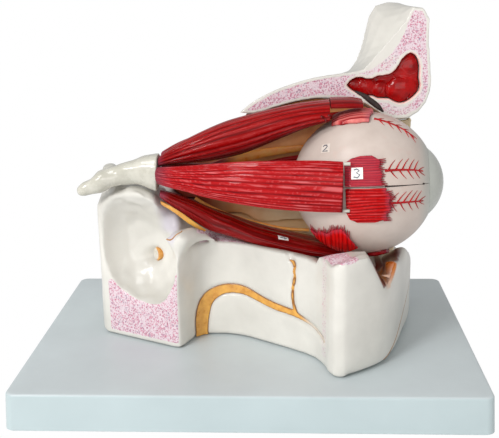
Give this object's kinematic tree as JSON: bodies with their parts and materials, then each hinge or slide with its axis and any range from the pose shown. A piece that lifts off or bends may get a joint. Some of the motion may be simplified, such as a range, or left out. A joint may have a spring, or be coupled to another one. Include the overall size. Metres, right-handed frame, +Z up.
{
  "type": "eye anatomy model",
  "caption": "Enlarged take-apart model of the eyeball in its cut-open bony orbit, with eye muscles and nerves, on a rectangular base, for science teaching.",
  "frame": {"origin": "on the table, under the middle of the base", "axes": "+X forward, the way the eye looks; +Y towards the nose, away from the cut-open outer side; +Z up"},
  "size_m": [0.262, 0.182, 0.2174],
  "materials": {
    "board_grey": "gloss",
    "rubber_grey": "matte",
    "steel": "satin",
    "bone_white": "gloss",
    "sinus_red": "gloss",
    "muscle_red": "gloss",
    "muscle_dark": "gloss",
    "nerve_yellow": "gloss",
    "sheath_white": "gloss",
    "wall_tan": "satin",
    "eye_white": "satin",
    "coat_brown": "satin",
    "cornea_clear": "gloss",
    "gel_clear": "gloss",
    "iris_blue": "gloss"
  },
  "bodies": {
    "orbit": {"base_tray": "board_grey", "bone_block": "bone_white", "frontal_bone": "bone_white", "frontal_sinus_lining": "sinus_red", "inner_wall": "wall_tan", "nerve_stalk": "sheath_white", "optic_nerve": "nerve_yellow", "eyeball_peg": "sheath_white", "wall_nerve": "nerve_yellow", "floor_nerve": "nerve_yellow", "upper_jaw_nerve": "nerve_yellow", "round_hole_nerve": "nerve_yellow", "tear_sac": "nerve_yellow", "inferior_rectus": "muscle_dark", "medial_rectus": "muscle_dark", "superior_oblique": "muscle_red", "rubber_foot_1": "rubber_grey", "bone_screw_1": "steel", "rubber_foot_2": "rubber_grey", "bone_screw_2": "steel", "rubber_foot_3": "rubber_grey", "bone_screw_3": "steel", "rubber_foot_4": "rubber_grey", "bone_screw_4": "steel"},
    "lateral_muscle": {"lateral_rectus": "muscle_red", "lateral_pin_1": "sheath_white", "lateral_pin_2": "sheath_white"},
    "superior_muscle": {"superior_rectus": "muscle_red", "lid_lifter": "muscle_dark"},
    "eyeball_lower": {"lower_sclera": "eye_white", "lower_choroid": "coat_brown", "lateral_stub_lower": "muscle_red", "medial_stub_lower": "muscle_red", "inferior_stub": "muscle_red", "inferior_oblique_stub": "muscle_red"},
    "eyeball_upper": {"upper_sclera": "eye_white", "lateral_stub_upper": "muscle_red", "medial_stub_upper": "muscle_red", "superior_stub": "muscle_red"},
    "upper_coat": {"upper_choroid": "coat_brown"},
    "vitreous": {"vitreous_body": "gel_clear"},
    "cornea_cap": {"cornea": "cornea_clear"},
    "iris_ring": {"iris": "iris_blue"},
    "lens_body": {"lens": "gel_clear"}
  },
  "joints": [
    {"name": "lateral_rectus_pull", "type": "slide", "parent": "orbit", "child": "lateral_muscle", "axis": [0, -1, 0], "range_m": [0, 0.1]},
    {"name": "superior_rectus_lift", "type": "slide", "parent": "orbit", "child": "superior_muscle", "axis": [0, 0, 1], "range_m": [0, 0.08]},
    {"name": "eyeball_pull", "type": "slide", "parent": "orbit", "child": "eyeball_lower", "axis": [0.9755, -0.22, 0], "range_m": [0, 0.2]},
    {"name": "upper_half_lift", "type": "slide", "parent": "eyeball_lower", "child": "eyeball_upper", "axis": [-0.0277, 0.1761, 0.984], "range_m": [0, 0.044]},
    {"name": "upper_coat_lift", "type": "slide", "parent": "eyeball_lower", "child": "upper_coat", "axis": [-0.0277, 0.1761, 0.984], "range_m": [0, 0.03]},
    {"name": "vitreous_lift", "type": "slide", "parent": "eyeball_lower", "child": "vitreous", "axis": [-0.0277, 0.1761, 0.984], "range_m": [0, 0.016]},
    {"name": "cornea_pull", "type": "slide", "parent": "eyeball_lower", "child": "cornea_cap", "axis": [0.9952, -0.0871, 0.0436], "range_m": [0, 0.09]},
    {"name": "iris_pull", "type": "slide", "parent": "eyeball_lower", "child": "iris_ring", "axis": [0.9952, -0.0871, 0.0436], "range_m": [0, 0.0594]},
    {"name": "lens_pull", "type": "slide", "parent": "vitreous", "child": "lens_body", "axis": [0.9952, -0.0871, 0.0436], "range_m": [0, 0.0297]}
  ],
  "couplings": [
    {"joint": "upper_half_lift", "follows": "eyeball_pull", "ratio": 0.22},
    {"joint": "upper_coat_lift", "follows": "eyeball_pull", "ratio": 0.15},
    {"joint": "vitreous_lift", "follows": "eyeball_pull", "ratio": 0.08},
    {"joint": "iris_pull", "follows": "cornea_pull", "ratio": 0.66},
    {"joint": "lens_pull", "follows": "cornea_pull", "ratio": 0.33}
  ]
}
